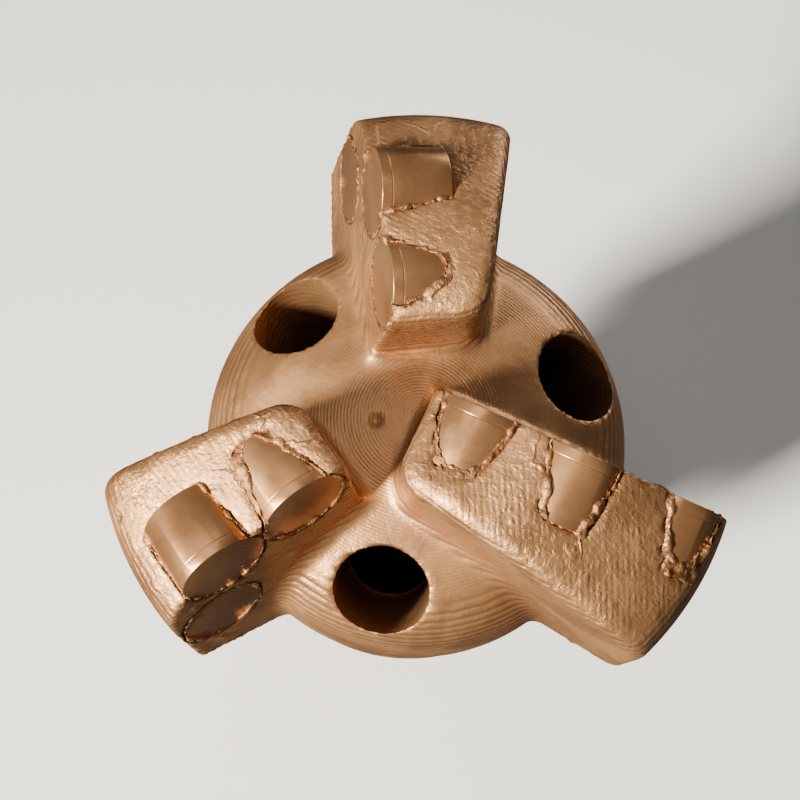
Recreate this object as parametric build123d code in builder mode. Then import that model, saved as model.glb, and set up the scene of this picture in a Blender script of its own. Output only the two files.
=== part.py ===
"""Three-bladed PDC drill bit: a one-piece steel body with brazed-in cutters and gauge buttons.

Frame: millimetres, +Z along the bit's axis towards the rock, X and Y across it.
The origin is on the axis in the plane of the pin shoulder. The pin points down, the blades up.
"""
from build123d import *
import os
from math import asin, cos, degrees, radians, sin, sqrt, tan

# ---- driving dimensions -------------------------------------------------------------------
# Threaded pin and shank
pin_length = 76.0            # shoulder to nose
pin_base_radius = 32.5       # taper radius at the shoulder
pin_nose_radius = 23.0       # taper radius at the nose
pin_relief_radius = 30.5     # turned relief next to the shoulder
pin_relief_length = 10.0
pin_nose_chamfer = 2.0
water_bore_radius = 12.5
shank_radius = 39.5
shank_length = 40.0          # shoulder to the step up to the crown
shoulder_bevel = 2.0
breaker_across = 66.0        # across the two spanner flats
breaker_bottom = 9.0         # lower edge of the flats above the shoulder
breaker_height = 24.0

# Crown: the domed body between the blades
crown_radius = 41.5
crown_length = 44.0          # step on the shank to the crest of the dome
crown_step_bevel = 1.5
dome_radius = 71.0           # shallow top of the dome
dome_edge = 31.5             # where the shallow top turns into the round flank

# Blades: heights are above the crest of the dome, radii from the axis
gauge_radius = 59.0
blade_centre_height = 15.5   # top of the blades at the axis
blade_nose_height = 18.5     # highest ring of the blades
blade_nose_radius = 24.0     # radius of that ring
blade_shoulder_radius = 50.0
blade_shoulder_height = 10.5
gauge_top = -3.0             # where the round shoulder meets the gauge cylinder
gauge_length = 18.0
gauge_run_out = 9.0          # height of the sloping underside of each blade
blade_corner = 6.0           # round upright corners of a blade's ends
blade_gauge_corner = 3.0      # round upright edge at the trailing end of the gauge
blade_root_fillet = 3.0
blade_rake = 12.0            # degrees that the leading faces and the cutters lean back
rake_height = 12.5           # height at which a leading face stands its stated distance ahead
touch = 0.02                 # two edges this close count as one

# Each blade: name, leading-face direction, its distance ahead of the axis, where it begins,
# its thickness there, how many degrees its trailing wall opens, and the cutters' distances out
blades = [
    ("left", -144.5, 4.0, 18.0, 16.0, 17.0, (27.6, 44.8, 49.6)),
    ("upper", 95.5, 5.0, 13.0, 17.8, 14.0, (21.8, 39.8, 49.4)),
    ("long", -24.5, 3.0, 1.5, 18.9, 10.0, (11.0, 29.0, 48.4)),
]
# Height of each cutter's face centre above the crest of the dome
cutter_heights = {
    "long": (12.3, 12.5, 4.5),
    "upper": (12.6, 11.5, -5.5),
    "left": (12.5, 10.5, -7.0),
}

# Cutters, their braze and the gauge buttons
cutter_radius = 8.0
cutter_length = 13.0
cutter_bevel = 0.4
braze_thickness = 0.3
pocket_mouth = 2.0           # how far a pocket is cut open ahead of the cutter face
button_radius = 3.0
button_length = 7.0
buttons_per_blade = 3
button_pitch = 6.5
button_lag = 19.5            # degrees behind the leading face
button_edge = 4.0            # lowest button above the lower end of the gauge
button_sink = 0.2

# Water ports
port_radius = 8.75
port_circle = 32.5           # where a port's axis crosses the dome
port_tilt = 26.0             # degrees that a port leans out from the bit's axis
port_first_angle = 17.5

# ---- sizes worked out from them -----------------------------------------------------------
crest = shank_length + crown_length
dome_edge_angle = asin(dome_edge / dome_radius)
dome_edge_z = crest - dome_radius * (1 - cos(dome_edge_angle))
flank_radius = (crown_radius - dome_edge) / (1 - sin(dome_edge_angle))
flank_bottom_z = dome_edge_z - flank_radius * cos(dome_edge_angle)
port_z = crest - dome_radius + sqrt(dome_radius**2 - port_circle**2)
port_run = (port_circle - 2.0) / sin(radians(port_tilt))
bore_top = port_z - port_circle / tan(radians(port_tilt)) + water_bore_radius * 1.2
gauge_bottom = crest + gauge_top - gauge_length
pocket_radius = cutter_radius + braze_thickness


def blade_frame(angle, ahead):
    """Plane whose x runs out along a blade's leading face and whose normal is the bit's axis."""
    lead = Vector(-sin(radians(angle)), cos(radians(angle)), 0) * ahead
    return Plane(origin=lead, x_dir=(cos(radians(angle)), sin(radians(angle)), 0), z_dir=(0, 0, 1))


def face_plane(angle, ahead, out, height):
    """Plane in a blade's raked leading face, centred where a cutter sits: it looks forward and up."""
    along = Vector(cos(radians(angle)), sin(radians(angle)), 0)
    forward = Vector(-sin(radians(angle)), cos(radians(angle)), 0)
    up = Vector(0, 0, 1)
    rake = radians(blade_rake)
    lead = ahead + (rake_height - height) * tan(rake)
    centre = along * out + forward * lead + up * (crest + height)
    return Plane(origin=centre, x_dir=along, z_dir=forward * cos(rake) + up * sin(rake))


# ---- crown, shank and pin, turned round the axis ------------------------------------------
with BuildPart() as core:
    with BuildSketch(Plane.XZ):
        with BuildLine():
            dome_top = ThreePointArc(
                (0, crest),
                (dome_radius * sin(dome_edge_angle / 2),
                 crest - dome_radius * (1 - cos(dome_edge_angle / 2))),
                (dome_edge, dome_edge_z),
            )
            TangentArc(dome_top @ 1, (crown_radius, flank_bottom_z), tangent=dome_top % 1)
            Polyline(
                (crown_radius, flank_bottom_z),
                (crown_radius, shank_length + crown_step_bevel),
                (crown_radius - crown_step_bevel, shank_length),
                (shank_radius, shank_length),
                (shank_radius, shoulder_bevel),
                (shank_radius - shoulder_bevel, 0),
                (pin_relief_radius, 0),
                (pin_relief_radius, -pin_relief_length),
                (pin_nose_radius + (pin_base_radius - pin_nose_radius)
                 * (1 - pin_relief_length / pin_length), -pin_relief_length),
                (pin_nose_radius, pin_nose_chamfer - pin_length),
                (pin_nose_radius - pin_nose_chamfer, -pin_length),
                (0, -pin_length),
                (0, crest),
            )
        make_face()
    revolve(axis=Axis.Z)

# ---- ring that every blade is cut from: nose, shoulder, gauge and run-out -----------------
with BuildPart() as envelope:
    with BuildSketch(Plane.XZ):
        with BuildLine():
            Spline(
                (0, crest + blade_centre_height),
                (blade_nose_radius, crest + blade_nose_height),
                (blade_shoulder_radius, crest + blade_shoulder_height),
                (gauge_radius, crest + gauge_top),
                tangents=[(1, 0.1), (0, -1)],
            )
            Polyline(
                (gauge_radius, crest + gauge_top),
                (gauge_radius, gauge_bottom),
                (crown_radius - 2, gauge_bottom - gauge_run_out),
                (0, gauge_bottom - gauge_run_out),
                (0, crest + blade_centre_height),
            )
        make_face()
    revolve(axis=Axis.Z)

# ---- the blades, each a raw solid cut from a wedge-shaped plan -------------------------------
def raw_blade(angle, ahead, begin, thickness, opening):
    """One blade: its plan raised through the envelope, upright inner corner and top rounded."""
    frame = blade_frame(angle, ahead)
    reach = gauge_radius + 10
    stock = (rake_height - gauge_top + gauge_length + gauge_run_out) * tan(radians(blade_rake))
    with BuildPart() as blade:
        with BuildSketch(frame.offset(gauge_bottom - gauge_run_out)) as plan:
            with BuildLine():
                Polyline(
                    (begin, stock),
                    (reach, stock),
                    (reach, -thickness - (reach - begin) * tan(radians(opening))),
                    (begin, -thickness),
                    close=True,
                )
            make_face()
            inner_trailing = plan.vertices().sort_by_distance((begin, -thickness))[0]
            fillet(inner_trailing, blade_corner)
        extrude(amount=crest + blade_nose_height + 5 - gauge_bottom + gauge_run_out)
        add(envelope.part, mode=Mode.INTERSECT)
        split(bisect_by=face_plane(angle, ahead, begin, rake_height), keep=Keep.BOTTOM)
        trailing_gauge = blade.edges().filter_by(Axis.Z).sort_by_distance(
            frame.from_local_coords((gauge_radius, -2 * thickness, crest)))[0]
        fillet(trailing_gauge, blade_gauge_corner)
    return blade.part


def root_edges(body, blade):
    """Edges of the body where a blade's walls meet the crown, without the blade's underside."""
    crown_skin = core.part.shells()[0]
    blade_skin = blade.shells()[0]
    found = []
    for edge in body.edges():
        points = [Vertex(*(edge @ share)) for share in (0.2, 0.5, 0.8)]
        on_crown = all(crown_skin.distance_to(point) < touch for point in points)
        on_blade = all(blade_skin.distance_to(point) < touch for point in points)
        if on_crown and on_blade and points[1].Z > gauge_bottom - gauge_run_out + touch:
            found.append(edge)
    underside = min(edge.center().Z for edge in found)
    return [edge for edge in found if edge.center().Z > underside + touch]


with BuildPart() as crown:
    add(core.part)
    for name, angle, ahead, begin, thickness, opening, outs in blades:
        blade = raw_blade(angle, ahead, begin, thickness, opening)
        add(blade)
        fillet(root_edges(crown.part, blade), blade_root_fillet)

# ---- cutters and the pockets that they sit in ---------------------------------------------
seats = {}
for name, angle, ahead, begin, thickness, opening, outs in blades:
    for number, (out, height) in enumerate(zip(outs, cutter_heights[name]), start=1):
        seats[f"{name}_{number}"] = face_plane(angle, ahead, out, height)

cutters = {}
pockets = {}
for name, face in seats.items():
    with BuildPart() as cutter:
        with BuildSketch(face):
            Circle(cutter_radius)
        extrude(amount=-cutter_length)
        chamfer(cutter.edges().filter_by(GeomType.CIRCLE).group_by(Axis.Z)[-1], cutter_bevel)
    cutter.part.label = f"cutter_{name}"
    cutters[name] = cutter.part
    with BuildPart() as pocket:
        with BuildSketch(face.offset(pocket_mouth)):
            Circle(pocket_radius)
        extrude(amount=-(cutter_length + braze_thickness + pocket_mouth))
    pockets[name] = pocket.part

# ---- gauge buttons in each blade's outer face ---------------------------------------------
buttons = {}
for name, angle, ahead, begin, thickness, opening, outs in blades:
    turn = degrees(asin(ahead / gauge_radius)) - button_lag
    for number in range(buttons_per_blade):
        height = gauge_bottom + button_edge + number * button_pitch
        radial = Vector(cos(radians(angle + turn)), sin(radians(angle + turn)), 0)
        seat = Plane(origin=radial * (gauge_radius - button_sink) + Vector(0, 0, height), z_dir=radial)
        with BuildPart() as button:
            with BuildSketch(seat):
                Circle(button_radius)
            extrude(amount=-button_length)
        button.part.label = f"gauge_button_{name}_{number + 1}"
        buttons[f"{name}_{number + 1}"] = button.part

# ---- the finished body --------------------------------------------------------------------
with BuildPart() as bit_body:
    add(crown.part)
    for name, pocket in pockets.items():
        add(pocket, mode=Mode.SUBTRACT)
    for name, button in buttons.items():
        add(button, mode=Mode.SUBTRACT)
    # Water way: one bore up the pin, three ports that lean out of it
    with BuildSketch(Plane.XY.offset(-pin_length)):
        Circle(water_bore_radius)
    extrude(amount=pin_length + bore_top, mode=Mode.SUBTRACT)
    for turn in (0, 120, 240):
        direction = radians(port_first_angle + turn)
        out = Vector(cos(direction), sin(direction), 0)
        lean = out * sin(radians(port_tilt)) + Vector(0, 0, cos(radians(port_tilt)))
        mouth = Plane(origin=out * port_circle + Vector(0, 0, port_z), z_dir=lean)
        with BuildSketch(mouth.offset(port_radius)):
            Circle(port_radius)
        extrude(amount=-(port_run + port_radius), mode=Mode.SUBTRACT)
    # Spanner flats on the shank
    with BuildSketch(Plane.XY.offset(breaker_bottom)):
        with GridLocations(0, breaker_across + shank_radius, 1, 2):
            Rectangle(2 * shank_radius, shank_radius)
    extrude(amount=breaker_height, mode=Mode.SUBTRACT)
bit_body.part.label = "bit_body"

# ---- braze: the shell that fills a pocket between the steel and the cutter ------------------
brazes = {}
for name, pocket in pockets.items():
    with BuildPart() as braze:
        add(crown.part)
        add(pocket, mode=Mode.INTERSECT)
        add(cutters[name], mode=Mode.SUBTRACT)
    bead = Part(braze.part.solids().sort_by(SortBy.VOLUME)[-1].wrapped)
    bead.label = f"braze_{name}"
    brazes[name] = bead

os.makedirs("parts", exist_ok=True)
export_step(bit_body.part, "parts/bit_body.step")
for group in (cutters, brazes, buttons):
    for part in group.values():
        export_step(part, f"parts/{part.label}.step")
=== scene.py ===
"""Looks of a three-bladed PDC drill bit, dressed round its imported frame.

Lengths are metres in the frame's own axes: +Z runs up the bit's axis towards the rock, and the
origin is on that axis in the plane of the pin shoulder.
"""
import math

import bpy
from mathutils import Matrix, Vector, noise


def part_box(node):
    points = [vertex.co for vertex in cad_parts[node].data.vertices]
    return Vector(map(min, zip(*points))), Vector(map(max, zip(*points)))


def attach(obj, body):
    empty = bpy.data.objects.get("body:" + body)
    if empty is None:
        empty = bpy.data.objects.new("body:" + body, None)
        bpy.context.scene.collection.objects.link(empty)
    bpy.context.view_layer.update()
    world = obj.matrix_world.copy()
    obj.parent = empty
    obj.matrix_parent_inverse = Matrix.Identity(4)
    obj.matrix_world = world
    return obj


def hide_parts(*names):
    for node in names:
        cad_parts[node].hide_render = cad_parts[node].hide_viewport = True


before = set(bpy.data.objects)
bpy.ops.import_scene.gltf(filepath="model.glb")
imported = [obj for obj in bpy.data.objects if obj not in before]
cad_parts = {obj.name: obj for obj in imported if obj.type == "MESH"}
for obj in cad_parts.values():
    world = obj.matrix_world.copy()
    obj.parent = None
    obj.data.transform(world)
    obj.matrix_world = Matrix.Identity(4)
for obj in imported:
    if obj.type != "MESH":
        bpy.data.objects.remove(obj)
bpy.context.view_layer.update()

MM = 0.001

# ---- sizes that the pieces share ----------------------------------------------------------
crest = 84 * MM                  # top of the dome, above the pin shoulder
dome_radius = 71 * MM
dome_edge = 31.5 * MM            # where the dome turns into the flank
crown_radius = 41.5 * MM
gauge_radius = 59 * MM
blade_rake = math.radians(12)    # lean of the leading faces
blade_angles = {"long": -24.5, "upper": 95.5, "left": -144.5}
cutters_per_blade = 3
cutter_radius = 8 * MM
cutter_length = 13 * MM
table_depth = 2 * MM             # diamond layer on a cutter's face
port_radius = 8.75 * MM
port_circle = 32.5 * MM
port_tilt = math.radians(26)
port_angles = (17.5, 137.5, 257.5)
pin_length = 76 * MM
pin_base_radius = 32.5 * MM
pin_nose_radius = 23 * MM
pin_relief = 10 * MM
thread_pitch = 5.08 * MM
thread_depth = 2.4 * MM


# ---- small helpers --------------------------------------------------------------------------
def smooth_share(value, low, high):
    """0 below low, 1 above high, and an even S-curve between."""
    share = min(max((value - low) / (high - low), 0), 1)
    return share * share * (3 - 2 * share)


def only(obj):
    """Selects one object alone and makes it active."""
    bpy.ops.object.select_all(action="DESELECT")
    obj.select_set(True)
    bpy.context.view_layer.objects.active = obj


def apply_modifier(obj, kind, **settings):
    """Adds a modifier, sets it and applies it to the mesh."""
    only(obj)
    modifier = obj.modifiers.new(kind.lower(), kind)
    for key, value in settings.items():
        setattr(modifier, key, value)
    bpy.ops.object.modifier_apply(modifier=modifier.name)


def merged_copy(node, name):
    """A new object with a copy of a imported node's mesh, its loose triangles merged."""
    piece = bpy.data.objects.new(name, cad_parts[node].data.copy())
    piece.data.name = name
    piece.data.materials.clear()
    bpy.context.collection.objects.link(piece)
    only(piece)
    bpy.ops.object.mode_set(mode="EDIT")
    bpy.ops.mesh.select_all(action="SELECT")
    bpy.ops.mesh.remove_doubles(threshold=0.002 * MM)
    bpy.ops.mesh.normals_make_consistent(inside=False)
    bpy.ops.object.mode_set(mode="OBJECT")
    return piece


def finish_piece(piece, material, slot, *nodes):
    """Gives a piece its material and its body, and hides the imported nodes that it stands for; its finish
    slot is not used.
    """
    piece.data.materials.clear()
    piece.data.materials.append(material)
    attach(piece, "root")
    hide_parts(*nodes)


def blade_axes(angle):
    """Unit vectors of a blade: out along it, and the way that its raked leading face looks."""
    turn = math.radians(angle)
    along = Vector((math.cos(turn), math.sin(turn), 0))
    forward = Vector((-math.sin(turn), math.cos(turn), 0))
    face = forward * math.cos(blade_rake) + Vector((0, 0, math.sin(blade_rake)))
    return along, face


# ---- shader helpers --------------------------------------------------------------------------
class Nodes:
    """Adds nodes to one node tree and wires them."""

    def __init__(self, tree):
        self.tree = tree

    def add(self, kind, inputs=(), **settings):
        node = self.tree.nodes.new(kind)
        for key, value in settings.items():
            setattr(node, key, value)
        for socket, value in dict(inputs).items():
            self.put(value, node.inputs[socket])
        return node

    def put(self, value, socket):
        if isinstance(value, bpy.types.NodeSocket):
            self.tree.links.new(value, socket)
        else:
            socket.default_value = value

    def math(self, operation, first, second=0.0, third=0.0):
        node = self.add("ShaderNodeMath", {0: first, 1: second, 2: third}, operation=operation)
        return node.outputs[0]

    def noise(self, vector, scale, detail=2.0, roughness=0.5, distortion=0.0):
        values = {"Vector": vector, "Scale": scale, "Detail": detail, "Roughness": roughness,
                  "Distortion": distortion}
        return self.add("ShaderNodeTexNoise", values).outputs["Fac"]

    def share(self, value, low, high, out_low=0.0, out_high=1.0):
        values = {"Value": value, "From Min": low, "From Max": high, "To Min": out_low,
                  "To Max": out_high}
        return self.add("ShaderNodeMapRange", values, interpolation_type="SMOOTHSTEP").outputs[0]

    def blend(self, factor, first, second):
        node = self.add("ShaderNodeMix", {0: factor, 6: first, 7: second}, data_type="RGBA")
        return node.outputs[2]

    def attribute(self, name):
        return self.add("ShaderNodeAttribute", attribute_name=name).outputs["Fac"]


def new_group(name, inputs, outputs):
    """An empty shader node group with named float, vector or colour sockets."""
    tree = bpy.data.node_groups.new(name, "ShaderNodeTree")
    for label, kind, value in inputs:
        socket = tree.interface.new_socket(label, in_out="INPUT", socket_type=kind)
        if value is not None:
            socket.default_value = value
    for label, kind in outputs:
        tree.interface.new_socket(label, in_out="OUTPUT", socket_type=kind)
    nodes = Nodes(tree)
    return tree, nodes, nodes.add("NodeGroupInput").outputs, nodes.add("NodeGroupOutput").inputs


def ridge_lines_group():
    """Tool marks: rounded ridges across a coordinate, a little wavy and uneven in height."""
    tree, nodes, given, result = new_group(
        "ridge_lines",
        [("Coordinate", "NodeSocketFloat", 0.0), ("Vector", "NodeSocketVector", None),
         ("Pitch", "NodeSocketFloat", 1.0), ("Waviness", "NodeSocketFloat", 0.2)],
        [("Height", "NodeSocketFloat")],
    )
    wander = nodes.math("SUBTRACT", nodes.noise(given["Vector"], 260.0, 2.0), 0.5)
    shifted = nodes.math("MULTIPLY_ADD", wander, given["Waviness"], given["Coordinate"])
    turns = nodes.math("DIVIDE", shifted, given["Pitch"])
    wave = nodes.math("SINE", nodes.math("MULTIPLY", turns, 2 * math.pi))
    scallop = nodes.math("POWER", nodes.math("MULTIPLY_ADD", wave, 0.5, 0.5), 0.7)
    uneven = nodes.share(nodes.noise(given["Vector"], 420.0, 3.0), 0.25, 0.7, 0.35, 1.0)
    nodes.put(nodes.math("MULTIPLY", scallop, uneven), result["Height"])
    return tree


def crazing_group():
    """Thin raised lines where thick paint has wrinkled, in patches."""
    tree, nodes, given, result = new_group(
        "crazing",
        [("Vector", "NodeSocketVector", None), ("Scale", "NodeSocketFloat", 110.0)],
        [("Height", "NodeSocketFloat")],
    )
    wander = nodes.add("ShaderNodeTexNoise", {"Vector": given["Vector"], "Scale": 300.0}).outputs["Color"]
    bent = nodes.add("ShaderNodeVectorMath", {0: wander, 3: 0.003}, operation="SCALE").outputs[0]
    moved = nodes.add("ShaderNodeVectorMath", {0: given["Vector"], 1: bent}, operation="ADD").outputs[0]
    cells = nodes.add("ShaderNodeTexVoronoi", {"Vector": moved, "Scale": given["Scale"]},
                      feature="DISTANCE_TO_EDGE").outputs["Distance"]
    line = nodes.share(cells, 0.0, 0.045, 1.0, 0.0)
    patch = nodes.share(nodes.noise(given["Vector"], 60.0, 1.0), 0.54, 0.62)
    nodes.put(nodes.math("MULTIPLY", line, patch), result["Height"])
    return tree


def paint_skin_group():
    """Sprayed paint over rough steel: fine orange peel, grit, and drifts of thin and thick paint."""
    tree, nodes, given, result = new_group(
        "paint_skin",
        [("Vector", "NodeSocketVector", None), ("Grit", "NodeSocketFloat", 0.5)],
        [("Height", "NodeSocketFloat"), ("Cloud", "NodeSocketFloat"), ("Speck", "NodeSocketFloat")],
    )
    peel = nodes.noise(given["Vector"], 900.0, 3.0, 0.6)
    grains = nodes.add("ShaderNodeTexVoronoi", {"Vector": given["Vector"], "Scale": 850.0})
    grit = nodes.share(grains.outputs["Distance"], 0.05, 0.45, 1.0, 0.0)
    patch = nodes.share(nodes.noise(given["Vector"], 140.0, 4.0), 0.42, 0.62)
    crinkle = nodes.share(nodes.noise(given["Vector"], 620.0, 5.0, 0.62, 0.6), 0.40, 0.66)
    raised = nodes.math("ADD", nodes.math("MULTIPLY", grit, patch), crinkle)
    rough = nodes.math("MULTIPLY", raised, given["Grit"])
    nodes.put(nodes.math("ADD", nodes.math("MULTIPLY", peel, 0.6), rough), result["Height"])
    nodes.put(nodes.noise(given["Vector"], 55.0, 5.0, 0.6, 0.4), result["Cloud"])
    spots = nodes.noise(given["Vector"], 2200.0, 2.0, 0.7)
    nodes.put(nodes.share(spots, 0.62, 0.72), result["Speck"])
    return tree


ridge_lines = ridge_lines_group()
crazing = crazing_group()
paint_skin = paint_skin_group()

copper_mid = (0.42, 0.205, 0.088, 1)
copper_light = (0.56, 0.295, 0.13, 1)
copper_deep = (0.15, 0.062, 0.024, 1)
# near-black brown for painted shade in the cutter pockets and down the ports, and for the darkened chips
shade_and_chip_brown = (0.028, 0.014, 0.008, 1)


def new_paint(name):
    """A material with an empty Principled shader, its nodes helper and its object coordinates."""
    material = bpy.data.materials.new(name)
    material.use_nodes = True
    nodes = Nodes(material.node_tree)
    shader = material.node_tree.nodes["Principled BSDF"]
    place = nodes.add("ShaderNodeTexCoord").outputs["Object"]
    return material, nodes, shader, place


def copper_tone(nodes, skin, low=0.32, high=0.68):
    """Copper paint that drifts between deep, mid and light tones."""
    base = nodes.blend(nodes.share(skin.outputs["Cloud"], low, high), copper_mid, copper_light)
    return nodes.blend(nodes.math("MULTIPLY", skin.outputs["Speck"], 0.35), base, copper_deep)


def body_paint():
    """Copper paint on milled steel: level lines on the flank, rings on the dome, ridges on blades."""
    material, nodes, shader, place = new_paint("body_copper_paint")
    skin = nodes.add("ShaderNodeGroup", node_tree=paint_skin)
    nodes.put(place, skin.inputs["Vector"])
    blade = nodes.attribute("blade_share")
    nodes.put(nodes.share(blade, 0.0, 1.0, 0.12, 0.9), skin.inputs["Grit"])
    axes = nodes.add("ShaderNodeSeparateXYZ", {0: place}).outputs
    radius = nodes.math("SQRT", nodes.math("ADD", nodes.math("MULTIPLY", axes[0], axes[0]),
                                           nodes.math("MULTIPLY", axes[1], axes[1])))

    def ridges(coordinate, pitch, waviness):
        values = {"Coordinate": coordinate, "Vector": place, "Pitch": pitch, "Waviness": waviness}
        return nodes.add("ShaderNodeGroup", values, node_tree=ridge_lines).outputs["Height"]

    level = ridges(axes[2], 1.35 * MM, 0.4 * MM)
    rings = ridges(radius, 0.62 * MM, 0.1 * MM)
    marks = ridges(nodes.attribute("tool_path"), 1.05 * MM, 0.5 * MM)
    flank = nodes.attribute("flank_share")
    dome = nodes.attribute("dome_share")
    top = nodes.attribute("top_share")
    height = nodes.math("MULTIPLY", level, flank)
    height = nodes.math("MULTIPLY_ADD", rings, nodes.math("MULTIPLY", dome, 0.16), height)
    patch = nodes.share(nodes.noise(place, 70.0, 2.0), 0.40, 0.62, 0.04, 0.32)
    height = nodes.math("MULTIPLY_ADD", marks, nodes.math("MULTIPLY", top, patch), height)
    height = nodes.math("MULTIPLY_ADD", skin.outputs["Height"], 0.5, height)
    wrinkles = nodes.add("ShaderNodeGroup", {"Vector": place}, node_tree=crazing).outputs["Height"]
    height = nodes.math("MULTIPLY_ADD", wrinkles, nodes.math("MULTIPLY", top, 1.1), height)
    bump = nodes.add("ShaderNodeBump", {"Height": height, "Strength": 0.85, "Distance": 0.22 * MM})
    nodes.put(bump.outputs[0], shader.inputs["Normal"])

    tone = copper_tone(nodes, skin)
    # painted shade: copper darkened in the valleys between the flank's level-line ridges
    valley_shade = nodes.math("MULTIPLY", nodes.share(level, 0.1, 0.5, 1.0, 0.0), flank)
    tone = nodes.blend(nodes.math("MULTIPLY", valley_shade, 0.45), tone, copper_deep)
    # painted shade: near-black in the cutter pockets and deepening down the water ports, and the chips
    # darkened too
    tone = nodes.blend(nodes.attribute("shade_and_chip_share"), tone, shade_and_chip_brown)
    nodes.put(tone, shader.inputs["Base Color"])
    gloss = nodes.share(skin.outputs["Cloud"], 0.3, 0.7, 0.34, 0.52)
    nodes.put(gloss, shader.inputs["Roughness"])
    shader.inputs["Metallic"].default_value = 0.75
    return material


def cutter_paint():
    """Smoother, glossier paint over ground carbide."""
    material, nodes, shader, place = new_paint("cutter_copper_paint")
    skin = nodes.add("ShaderNodeGroup", node_tree=paint_skin)
    nodes.put(place, skin.inputs["Vector"])
    nodes.put(0.12, skin.inputs["Grit"])
    nodes.put(copper_tone(nodes, skin, 0.4, 0.75), shader.inputs["Base Color"])
    nodes.put(nodes.share(skin.outputs["Cloud"], 0.3, 0.7, 0.22, 0.38), shader.inputs["Roughness"])
    bump = nodes.add("ShaderNodeBump", {"Height": skin.outputs["Height"], "Strength": 0.35,
                                        "Distance": 0.08 * MM})
    nodes.put(bump.outputs[0], shader.inputs["Normal"])
    shader.inputs["Metallic"].default_value = 0.8
    return material


def braze_paint():
    """Paint on set braze: lumpy, darker and uneven."""
    material, nodes, shader, place = new_paint("braze_copper_paint")
    skin = nodes.add("ShaderNodeGroup", node_tree=paint_skin)
    nodes.put(place, skin.inputs["Vector"])
    nodes.put(0.9, skin.inputs["Grit"])
    tone = copper_tone(nodes, skin, 0.45, 0.8)
    stain = nodes.share(nodes.noise(place, 320.0, 3.0), 0.42, 0.62, 0.0, 0.85)
    nodes.put(nodes.blend(stain, tone, copper_deep), shader.inputs["Base Color"])
    nodes.put(nodes.share(skin.outputs["Cloud"], 0.3, 0.7, 0.3, 0.55), shader.inputs["Roughness"])
    bump = nodes.add("ShaderNodeBump", {"Height": skin.outputs["Height"], "Strength": 0.8,
                                        "Distance": 0.2 * MM})
    nodes.put(bump.outputs[0], shader.inputs["Normal"])
    shader.inputs["Metallic"].default_value = 0.7
    return material


body_finish = body_paint()
cutter_finish = cutter_paint()
braze_finish = braze_paint()


# ---- the one-piece steel body --------------------------------------------------------------
def dome_height(radius):
    """Height of the crown's skin at a distance from the axis, without its blades."""
    sphere = crest - dome_radius + math.sqrt(dome_radius**2 - min(radius, dome_edge)**2)
    if radius <= dome_edge:
        return sphere
    return sphere - (radius - dome_edge)        # the flank falls at 45 degrees


def cutter_pose(blade, number):
    """Centre of a cutter's face and the way that it looks."""
    low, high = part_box(f"cutter_{blade}_{number}")
    face = blade_axes(blade_angles[blade])[1]
    middle = (Vector(low) + Vector(high)) / 2
    return middle + face * cutter_length / 2, face


cutter_poses = {
    (blade, number): cutter_pose(blade, number)
    for blade in blade_angles
    for number in range(1, cutters_per_blade + 1)
}


def pocket_shade(place, normal):
    """How much painted shade the steel gets: dark on the pocket walls close round each cutter's barrel."""
    most = 0.0
    for centre, face in cutter_poses.values():
        offset = place - centre
        depth = -offset.dot(face)
        if -1 * MM < depth < cutter_length + 0.5 * MM:
            outward = offset + face * depth
            reach = outward.length - cutter_radius
            facing = smooth_share(-normal.dot(outward.normalized()), -0.1, 0.4)
            most = max(most, facing * (1 - smooth_share(reach, 0.3 * MM, 1.1 * MM)))
    return most * 0.85


def port_axes():
    """Mouth centre and upward axis of each water port."""
    for angle in port_angles:
        turn = math.radians(angle)
        out = Vector((math.cos(turn), math.sin(turn), 0))
        lean = out * math.sin(port_tilt) + Vector((0, 0, math.cos(port_tilt)))
        yield out * port_circle + Vector((0, 0, dome_height(port_circle))), lean


ports = list(port_axes())


def port_place(place):
    """Depth down the nearest water port's axis, and the offset from that axis."""
    found = []
    for mouth, lean in ports:
        offset = place - mouth
        depth = -offset.dot(lean)
        found.append((offset + lean * depth, depth))
    return min(found, key=lambda pair: pair[0].length)


def nearest_blade(place):
    """The blade whose direction is nearest to a point's, and how far round it is in degrees."""
    turn = math.degrees(math.atan2(place.y, place.x))
    gaps = {name: abs((turn - angle + 18 + 180) % 360 - 180) for name, angle in blade_angles.items()}
    return min(gaps, key=gaps.get)


tool_directions = {"long": 2.0, "upper": 60.0, "left": 38.0}    # degrees, across the ridges
port_trim = 0.2 * MM             # how much wider the ports are cut again
body_voxel = 0.7 * MM
below_crown = 50 * MM            # under this height the even mesh is thinned
thinned_ratio = 0.505            # keeps the body a little under 200,000 triangles
centre_dimple = Vector((-8.1, -0.9)) * MM
chips = ((Vector((45.3, -25.9)) * MM, 1.3 * MM), (Vector((-53.0, -20.0)) * MM, 0.8 * MM))


def thread_drop(place):
    """How far a point of the pin moves in towards the axis to cut the tapered thread."""
    if place.z > -pin_relief or place.z < 3 * MM - pin_length:
        return 0.0
    radius = math.hypot(place.x, place.y)
    taper = pin_base_radius + (pin_nose_radius - pin_base_radius) * -place.z / pin_length
    if radius < taper - 1.5 * MM:
        return 0.0
    turn = math.atan2(place.y, place.x) / (2 * math.pi)
    phase = (place.z / thread_pitch + turn) % 1
    wall = min(max(1.25 - abs(phase - 0.5) * 3.2, 0), 1)
    ends = smooth_share(-place.z, pin_relief, pin_relief + thread_pitch)
    ends *= smooth_share(place.z + pin_length, 3 * MM, 3 * MM + thread_pitch)
    return thread_depth * wall * ends


def chip_share(place):
    """How deep in a broken-out chip a point of a blade's top is."""
    most = 0.0
    for centre, radius in chips:
        reach = (place.xy - centre).length + noise.noise(place * 900) * 0.4 * MM
        most = max(most, 1 - smooth_share(reach, 0.5 * radius, radius))
    return most * (place.z > crest - 10 * MM)


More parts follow.
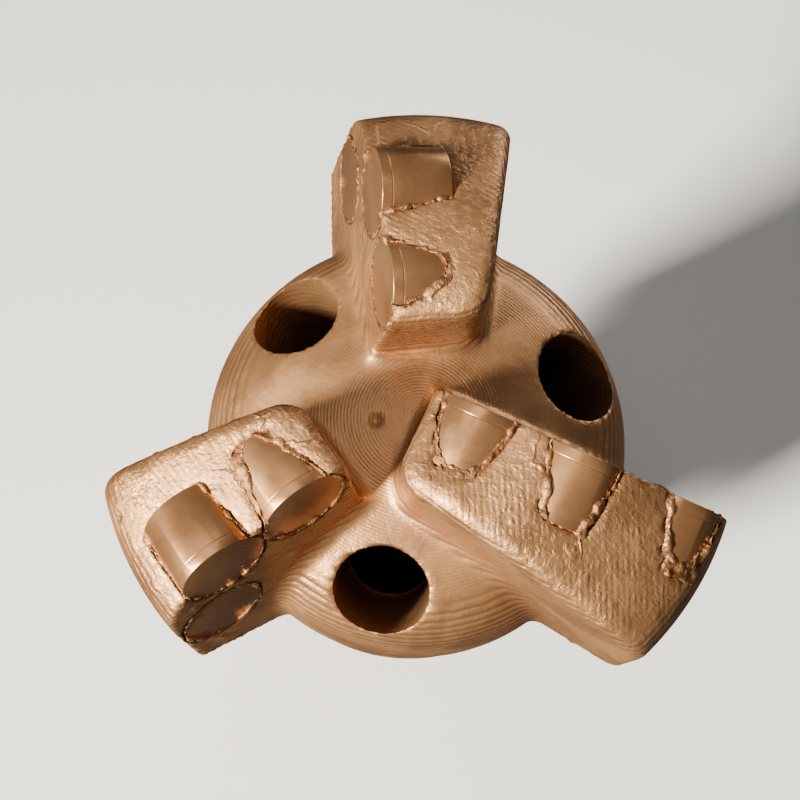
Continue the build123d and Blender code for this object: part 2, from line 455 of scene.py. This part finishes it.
def surface_lumps(place, share):
    """Spatter and unevenness of a blade, its chips, and the turning centre's dimple in the dome."""
    roll = noise.noise(place * 160) * 0.10 * MM
    lump = max(noise.noise(place * 420 + Vector((3, 5, 7))) - 0.30, 0) * 0.55 * MM
    dimple = 1 - smooth_share((place.xy - centre_dimple).length, 0.6 * MM, 1.6 * MM)
    sunk = dimple * (place.z > crest - 4 * MM) * 0.6 * MM
    return (roll + lump) * share - chip_share(place) * 0.5 * MM - sunk


def zone_shares(place, normal):
    """Shares of a point of the body that belong to each kind of surface, and its tool mark place."""
    radius = math.hypot(place.x, place.y)
    outer = max(radius - crown_radius, place.z - dome_height(radius))
    blade = smooth_share(outer, 2.5 * MM, 5 * MM) if place.z > 40 * MM else 0.0
    top = blade * smooth_share(normal.z, 0.55, 0.85)
    offset, depth = port_place(place)
    drilled = (1 - smooth_share(offset.length, port_radius, port_radius + 0.5 * MM)) * (depth > -8 * MM)
    drilled *= place.z > 30 * MM        # the ports' axes run on into the pin, the ports don't
    upper = smooth_share(place.z, 40.5 * MM, 42 * MM) * (1 - drilled)
    lay = math.radians(tool_directions[nearest_blade(place)])
    return {
        "blade_share": blade,
        "top_share": top,
        "dome_share": (1 - blade) * smooth_share(normal.z, 0.80, 0.93) * upper,
        "flank_share": upper * (1 - top) * (1 - smooth_share(normal.z, 0.72, 0.9)),
        # painted shade on the pocket walls round the cutters and deeper down the ports, with the chips
        # darkened too
        "shade_and_chip_share": max(pocket_shade(place, normal), drilled * smooth_share(depth, 1 * MM, 14 * MM),
                          chip_share(place)),
        "tool_path": place.x * math.cos(lay) + place.y * math.sin(lay),
    }


def cut_ports(body):
    """Cut the water ports again, a hair wider, so that their rims are round and crisp."""
    for mouth, lean in ports:
        bpy.ops.mesh.primitive_cylinder_add(vertices=96, radius=port_radius + port_trim, depth=34 * MM,
                                            location=(0, 0, -7 * MM))
        drill = bpy.context.object
        bpy.ops.object.transform_apply(location=True)
        bpy.ops.object.mode_set(mode="EDIT")
        for height in (-18, -13, -9, -6, -3, 0, 3):
            bpy.ops.mesh.select_all(action="SELECT")
            bpy.ops.mesh.bisect(plane_co=(0, 0, height * MM), plane_no=(0, 0, 1))
        bpy.ops.object.mode_set(mode="OBJECT")
        drill.data.transform(Matrix.Translation(mouth) @ lean.to_track_quat("Z", "Y").to_matrix().to_4x4())
        apply_modifier(body, "BOOLEAN", object=drill, operation="DIFFERENCE", solver="MANIFOLD")
        bpy.data.objects.remove(drill)


def make_body():
    """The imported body, evened out to small faces, then threaded, dented and marked by zone."""
    body = merged_copy("bit_body", "bit_body_steel")
    thin_wall = merged_copy("braze_upper_1", "thin_wall_backing")    # backs the 0.5 mm wall
    only(body)
    thin_wall.select_set(True)
    bpy.ops.object.join()
    apply_modifier(body, "REMESH", mode="VOXEL", voxel_size=body_voxel, use_smooth_shade=True)
    apply_modifier(body, "SMOOTH", factor=0.5, iterations=2)
    cut_ports(body)
    mesh = body.data
    shares = [zone_shares(vertex.co, vertex.normal) for vertex in mesh.vertices]
    normals = [vertex.normal.copy() for vertex in mesh.vertices]
    for vertex, normal, share in zip(mesh.vertices, normals, shares):
        radius = math.hypot(vertex.co.x, vertex.co.y)
        inner = 1 - smooth_share(radius, gauge_radius - 3 * MM, gauge_radius - 1 * MM)
        drop = thread_drop(vertex.co)
        moved = normal * surface_lumps(vertex.co, share["blade_share"] * inner)
        if drop:
            moved -= Vector((vertex.co.x, vertex.co.y, 0)) / radius * drop
        vertex.co += moved
    for name in shares[0]:
        mark = mesh.attributes.new(name, "FLOAT", "POINT")
        mark.data.foreach_set("value", [share[name] for share in shares])
    below = body.vertex_groups.new(name="below_crown")
    below.add([vertex.index for vertex in mesh.vertices if vertex.co.z < below_crown], 1.0, "REPLACE")
    apply_modifier(body, "DECIMATE", ratio=thinned_ratio, vertex_group="below_crown")
    only(body)
    bpy.ops.object.shade_smooth_by_angle(angle=math.radians(42))
    finish_piece(body, body_finish, "body_paint", "bit_body")


# ---- cutters: a carbide barrel with a diamond layer on its face ------------------------------
def make_cutter_form():
    """One cutter on the Z axis with its face at the origin, looking up."""
    bpy.ops.mesh.primitive_cylinder_add(vertices=96, radius=cutter_radius, depth=cutter_length,
                                        location=(0, 0, -cutter_length / 2))
    form = bpy.context.object
    bpy.ops.object.transform_apply(location=True)
    bpy.ops.object.mode_set(mode="EDIT")
    groove = 0.14 * MM
    for height in (-table_depth + groove, -table_depth, -table_depth - groove):
        bpy.ops.mesh.select_all(action="SELECT")
        bpy.ops.mesh.bisect(plane_co=(0, 0, height), plane_no=(0, 0, 1))
    bpy.ops.object.mode_set(mode="OBJECT")
    for vertex in form.data.vertices:
        if abs(vertex.co.z + table_depth) < groove / 2:
            vertex.co.x *= 1 - groove / cutter_radius
            vertex.co.y *= 1 - groove / cutter_radius
    apply_modifier(form, "BEVEL", width=0.35 * MM, segments=3, limit_method="ANGLE",
                   angle_limit=math.radians(60))
    return form


def make_cutters():
    """Nine cutters, each turned into its own pocket."""
    form = make_cutter_form()
    for (blade, number), (centre, face) in cutter_poses.items():
        along = blade_axes(blade_angles[blade])[0]
        across = face.cross(along)
        turn = Matrix((along, across, face)).transposed().to_4x4()
        cutter = bpy.data.objects.new(f"cutter_{blade}_{number}_barrel", form.data.copy())
        bpy.context.collection.objects.link(cutter)
        cutter.data.transform(Matrix.Translation(centre) @ turn)
        only(cutter)
        bpy.ops.object.shade_smooth_by_angle(angle=math.radians(35))
        finish_piece(cutter, cutter_finish, "cutter_paint", f"cutter_{blade}_{number}")
    bpy.data.objects.remove(form)


# ---- braze: lumpy beads that stand a little proud of the pockets ------------------------------
def make_brazes():
    """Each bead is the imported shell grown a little, evened out and roughened."""
    swell = bpy.data.textures.new("braze_swell", "CLOUDS")
    swell.noise_scale = 4.5 * MM
    lumps = bpy.data.textures.new("braze_lumps", "CLOUDS")
    lumps.noise_scale = 1.8 * MM
    for blade, number in cutter_poses:
        node = f"braze_{blade}_{number}"
        bead = merged_copy(node, f"{node}_bead")
        apply_modifier(bead, "DISPLACE", strength=0.22 * MM, mid_level=0.0)
        apply_modifier(bead, "REMESH", mode="VOXEL", voxel_size=0.32 * MM, use_smooth_shade=True)
        apply_modifier(bead, "SMOOTH", factor=0.5, iterations=2)
        apply_modifier(bead, "DISPLACE", texture=swell, texture_coords="LOCAL",
                       strength=2.6 * MM, mid_level=0.60)
        apply_modifier(bead, "DISPLACE", texture=lumps, texture_coords="LOCAL",
                       strength=0.7 * MM, mid_level=0.5)
        finish_piece(bead, braze_finish, "braze_paint", node)


make_body()
make_cutters()
make_brazes()
for name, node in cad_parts.items():
    if name.startswith("gauge_button"):
        node.data.materials.clear()
        node.data.materials.append(cutter_finish)


# ---- floor, light and camera -------------------------------------------------------------------
def make_floor():
    """A plain pale floor under the pin's nose."""
    bpy.ops.mesh.primitive_plane_add(size=6, location=(0, 0, -pin_length))
    floor = bpy.context.object
    floor.name = "floor"
    material = bpy.data.materials.new("pale_floor")
    material.use_nodes = True
    shader = material.node_tree.nodes["Principled BSDF"]
    shader.inputs["Base Color"].default_value = (0.9, 0.9, 0.89, 1)
    shader.inputs["Roughness"].default_value = 0.85
    floor.data.materials.append(material)
    floor.visible_glossy = False        # the sides away from the key light mirror a dim room instead


def area_light(name, place, aim, size, power, colour, spread):
    """A square soft light that looks at a point and spreads by so many degrees."""
    light = bpy.data.lights.new(name, "AREA")
    light.size = size
    light.energy = power
    light.color = colour
    light.spread = math.radians(spread)
    lamp = bpy.data.objects.new(name, light)
    lamp.location = place
    lamp.rotation_euler = (Vector(aim) - Vector(place)).to_track_quat("-Z", "Y").to_euler()
    bpy.context.collection.objects.link(lamp)


def make_camera():
    """Nearly over the crown, a little towards -Y."""
    camera = bpy.data.cameras.new("camera")
    camera.lens = 63.14
    camera.sensor_width = 36
    camera.clip_start = 0.01
    view = bpy.data.objects.new("camera", camera)
    place = Vector((-8.42, -58.03, 334.58)) * MM
    aim = Vector((-3.65, 2.83, 84)) * MM
    back = (place - aim).normalized()
    right = Vector((0, 1, 0)).cross(back).normalized()
    turn = Matrix((right, back.cross(right), back)).transposed()
    view.location = place
    view.rotation_euler = turn.to_euler()
    bpy.context.collection.objects.link(view)
    bpy.context.scene.camera = view


make_floor()
crown_top = (0, 0, crest)
area_light("key", (-0.78, -0.44, 0.70), crown_top, 0.20, 8.2, (1.0, 0.93, 0.80), 70)
area_light("low_back", (0.50, 0.70, 0.05), (0, 0, 0.02), 0.5, 0.45, (1.0, 0.96, 0.90), 60)
area_light("overhead", (-0.10, 0.10, 0.75), crown_top, 0.35, 0.12, (1.0, 0.96, 0.90), 60)
world = bpy.data.worlds.new("studio")
world.use_nodes = True
world.node_tree.nodes["Background"].inputs["Color"].default_value = (0.9, 0.9, 0.92, 1)
world.node_tree.nodes["Background"].inputs["Strength"].default_value = 0.085
bpy.context.scene.world = world
make_camera()
